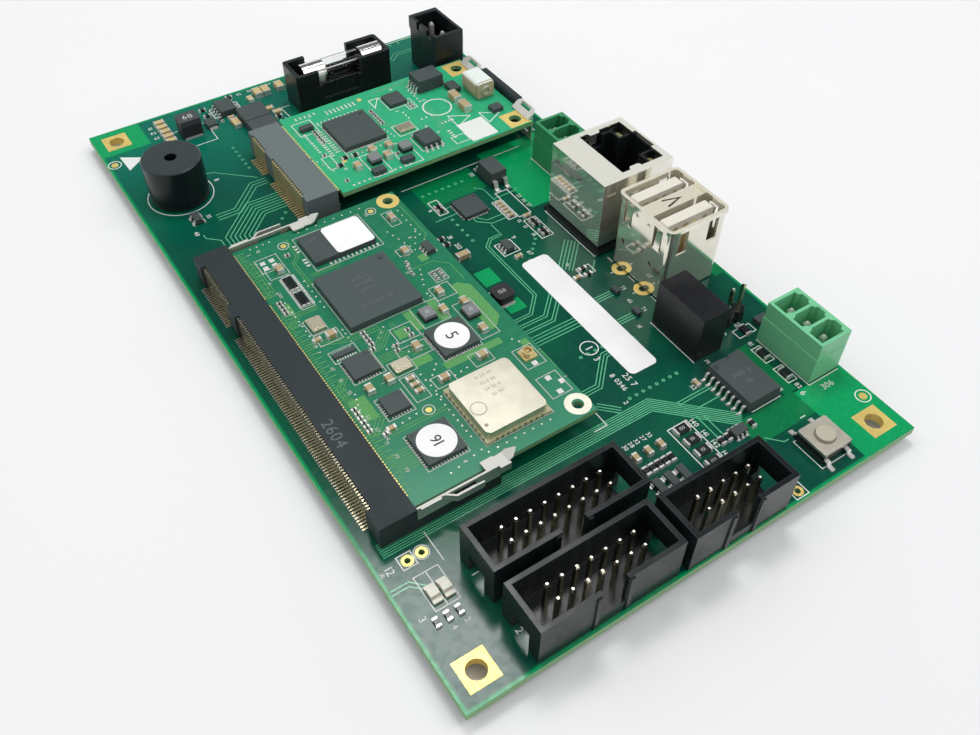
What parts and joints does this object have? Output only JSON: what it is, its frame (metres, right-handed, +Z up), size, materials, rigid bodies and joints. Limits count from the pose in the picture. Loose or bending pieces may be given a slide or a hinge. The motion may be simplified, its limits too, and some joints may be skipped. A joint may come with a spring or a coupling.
{
  "type": "carrier circuit board with plug-in modules",
  "caption": "Green carrier circuit board with an angled-socket computer module, a plug-in mini card, upright network and serial jacks, box headers, fuse and buzzer.",
  "frame": {"origin": "centre of the outline at the level of the solder tails that the board stands on", "axes": "+X along the long side towards the box headers, +Y along the short side towards the network jack, +Z up out of the component side"},
  "size_m": [0.155, 0.089, 0.0197],
  "materials": {
    "carrier_mask": "dark green solder mask over glass laminate",
    "card_mask": "brighter green solder mask",
    "solder": "bright tin solder",
    "paper": "blank printed film",
    "socket_plastic": "glass-filled nylon",
    "gold": "thin gold plating",
    "spring_steel": "stamped spring strip",
    "black_plastic": "moulded black plastic",
    "epoxy": "moulded chip package",
    "shield_steel": "tin-plated sheet",
    "crystal_metal": "warm plated lids",
    "ivory_plastic": "ivory moulding",
    "tin": "tinned copper",
    "glass_tube": "clear tube",
    "usb_metal": "warm plated sheet",
    "lens": "milky light windows",
    "green_plastic": "green moulding",
    "tan_ceramic": "sintered ceramic",
    "grey_glaze": "dark glaze",
    "ferrite": "moulded ferrite",
    "lid_grey": "grey lids"
  },
  "bodies": {
    "board": {"carrier_board": "carrier_mask", "solder_joints": "solder", "board_label": "paper", "sodimm_socket_housing": "socket_plastic", "sodimm_contacts": "gold", "module_board": "carrier_mask", "module_processor": "epoxy", "module_memory_chip": "epoxy", "module_control_chips": "epoxy", "module_radio_base": "carrier_mask", "module_radio_shield": "shield_steel", "module_antenna_socket": "gold", "crystals": "crystal_metal", "module_labels": "paper", "card_socket_housing": "socket_plastic", "card_socket_contacts": "gold", "card_board": "card_mask", "card_chips": "epoxy", "card_transformer": "ivory_plastic", "card_latch_bar": "socket_plastic", "buzzer_case": "black_plastic", "wire_pins": "tin", "fuse_holder_body": "black_plastic", "fuse_clips": "tin", "fuse_glass": "glass_tube", "fuse_caps": "tin", "fuse_wire": "tin", "inlet_housing": "black_plastic", "inlet_pins": "tin", "jack_shield": "shield_steel", "jack_housing": "black_plastic", "jack_contacts": "gold", "jack_lights": "lens", "usb_shell": "usb_metal", "usb_tongues": "ivory_plastic", "usb_contacts": "gold", "power_converter": "black_plastic", "terminal_housings": "green_plastic", "terminal_pins": "tin", "large_header_housing": "black_plastic", "medium_header_housing": "black_plastic", "small_header_housing": "black_plastic", "header_pins": "gold", "jumper_base": "black_plastic", "switch_base": "black_plastic", "switch_cover": "spring_steel", "switch_leads": "tin", "carrier_chips": "epoxy", "chip_leads": "tin", "chip_capacitors": "tan_ceramic", "chip_resistors": "grey_glaze", "chip_end_caps": "tin", "chip_inductors": "ferrite", "inductor_tops": "lid_grey", "indicator_leds": "ivory_plastic"},
    "switch_plunger": {"switch_plunger": "spring_steel"},
    "sodimm_latch_left": {"sodimm_latch_left": "spring_steel"},
    "sodimm_latch_right": {"sodimm_latch_right": "spring_steel"},
    "card_hook_left": {"card_hook_left": "spring_steel"},
    "card_hook_right": {"card_hook_right": "spring_steel"}
  },
  "joints": [
    {"name": "switch_press", "type": "slide", "parent": "board", "child": "switch_plunger", "axis": [0, 0, -1], "range_m": [0, 0.00025], "stiffness_N_per_m": 800},
    {"name": "sodimm_latch_left_open", "type": "hinge", "parent": "board", "child": "sodimm_latch_left", "pos_m": [-0.02042, -0.0342, 0.0071], "axis": [0, 0, 1], "range_deg": [0, 4], "stiffness_Nm_per_rad": 0.02},
    {"name": "sodimm_latch_right_open", "type": "hinge", "parent": "board", "child": "sodimm_latch_right", "pos_m": [0.04902, -0.0342, 0.0071], "axis": [0, 0, -1], "range_deg": [0, 4], "stiffness_Nm_per_rad": 0.02},
    {"name": "card_hook_left_open", "type": "hinge", "parent": "board", "child": "card_hook_left", "pos_m": [-0.0484, 0.0377, 0.0035], "axis": [-1, 0, 0], "range_deg": [0, 13], "stiffness_Nm_per_rad": 0.02},
    {"name": "card_hook_right_open", "type": "hinge", "parent": "board", "child": "card_hook_right", "pos_m": [-0.0271, 0.0377, 0.0035], "axis": [-1, 0, 0], "range_deg": [0, 13], "stiffness_Nm_per_rad": 0.02}
  ]
}
